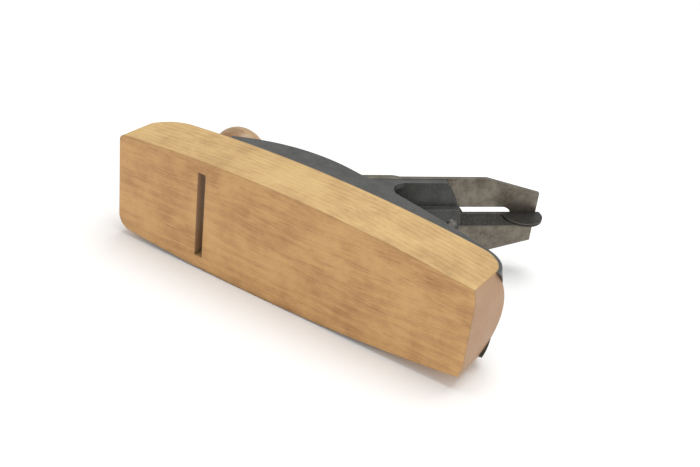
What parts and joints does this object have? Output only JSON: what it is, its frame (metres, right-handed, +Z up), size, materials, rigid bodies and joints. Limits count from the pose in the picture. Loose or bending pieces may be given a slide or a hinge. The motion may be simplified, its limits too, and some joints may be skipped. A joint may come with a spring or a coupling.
{
  "type": "transitional smoothing plane",
  "caption": "Wooden bottomed smoothing plane with an iron top casting, adjustable frog, slotted cutter, cap iron, lever cap, depth nut and turned front knob.",
  "frame": {"origin": "middle of the sole's length and width, on the sole", "axes": "+X to the toe, +Y to the left side seen from behind, +Z up, with the plane standing on its sole"},
  "size_m": [0.205, 0.0606, 0.1243],
  "materials": {
    "beech": "old oiled beech, worn satin",
    "knob_wood": "dark varnished beech",
    "japanned_iron": "worn black japanning",
    "bright_iron": "dull grey iron",
    "cutter_steel": "patinated steel",
    "lever_steel": "dark patinated steel",
    "screw_steel": "dull steel",
    "brass": "tarnished brass"
  },
  "bodies": {
    "plane": {"stock": "beech", "top_casting": "japanned_iron", "casting_screws": "screw_steel", "frog": "japanned_iron", "frog_screws": "screw_steel", "frog_washers": "screw_steel", "knob": "knob_wood", "knob_bolt": "screw_steel", "knob_nut": "brass", "lever_cap_screw": "screw_steel", "adjusting_stud": "screw_steel", "yoke_pin": "screw_steel", "lateral_rivet": "screw_steel"},
    "depth_nut": {"adjusting_nut": "brass"},
    "yoke": {"depth_yoke": "bright_iron"},
    "iron_carriage": {"cap_iron_screw": "screw_steel"},
    "irons": {"cutter": "cutter_steel", "cap_iron": "cutter_steel"},
    "lateral_adjuster": {"lateral_lever": "lever_steel", "lateral_roller": "lever_steel", "roller_rivet": "screw_steel"},
    "lever_cap_set": {"lever_cap": "japanned_iron", "lever_cap_spring": "screw_steel", "spring_rivet": "screw_steel", "cam_pin": "screw_steel"},
    "cam": {"cam_lever": "bright_iron"}
  },
  "joints": [
    {"name": "depth_nut_turn", "type": "hinge", "parent": "plane", "child": "depth_nut", "pos_m": [-0.045, 0, 0.05135], "axis": [1, 0, 0], "range_deg": [-277.83, 1165.29]},
    {"name": "yoke_swing", "type": "hinge", "parent": "plane", "child": "yoke", "pos_m": [-0.03653, 0, 0.06435], "axis": [0, 1, 0], "range_deg": [-3.6, 15.1]},
    {"name": "iron_depth", "type": "slide", "parent": "plane", "child": "iron_carriage", "axis": [0.7071, 0, -0.7071], "range_m": [-0.001, 0.0042]},
    {"name": "iron_tilt", "type": "hinge", "parent": "iron_carriage", "child": "irons", "pos_m": [0.01084, 0, 0.03536], "axis": [0.7071, 0, 0.7071], "range_deg": [-0.72, 0.72]},
    {"name": "lateral_swing", "type": "hinge", "parent": "plane", "child": "lateral_adjuster", "pos_m": [-0.04254, 0, 0.08874], "axis": [0.7071, 0, 0.7071], "range_deg": [-5, 5]},
    {"name": "lever_cap_slide", "type": "slide", "parent": "plane", "child": "lever_cap_set", "axis": [-0.7071, 0, 0.7071], "range_m": [0, 0.01]},
    {"name": "cam_turn", "type": "hinge", "parent": "lever_cap_set", "child": "cam", "pos_m": [-0.02621, 0, 0.0874], "axis": [0, 1, 0], "range_deg": [0, 120]}
  ],
  "couplings": [
    {"joint": "depth_nut_turn", "follows": "iron_depth", "rad_per_m": 4840.4},
    {"joint": "yoke_swing", "follows": "iron_depth", "rad_per_m": 62.696},
    {"joint": "iron_tilt", "follows": "lateral_swing", "ratio": -0.14394}
  ]
}
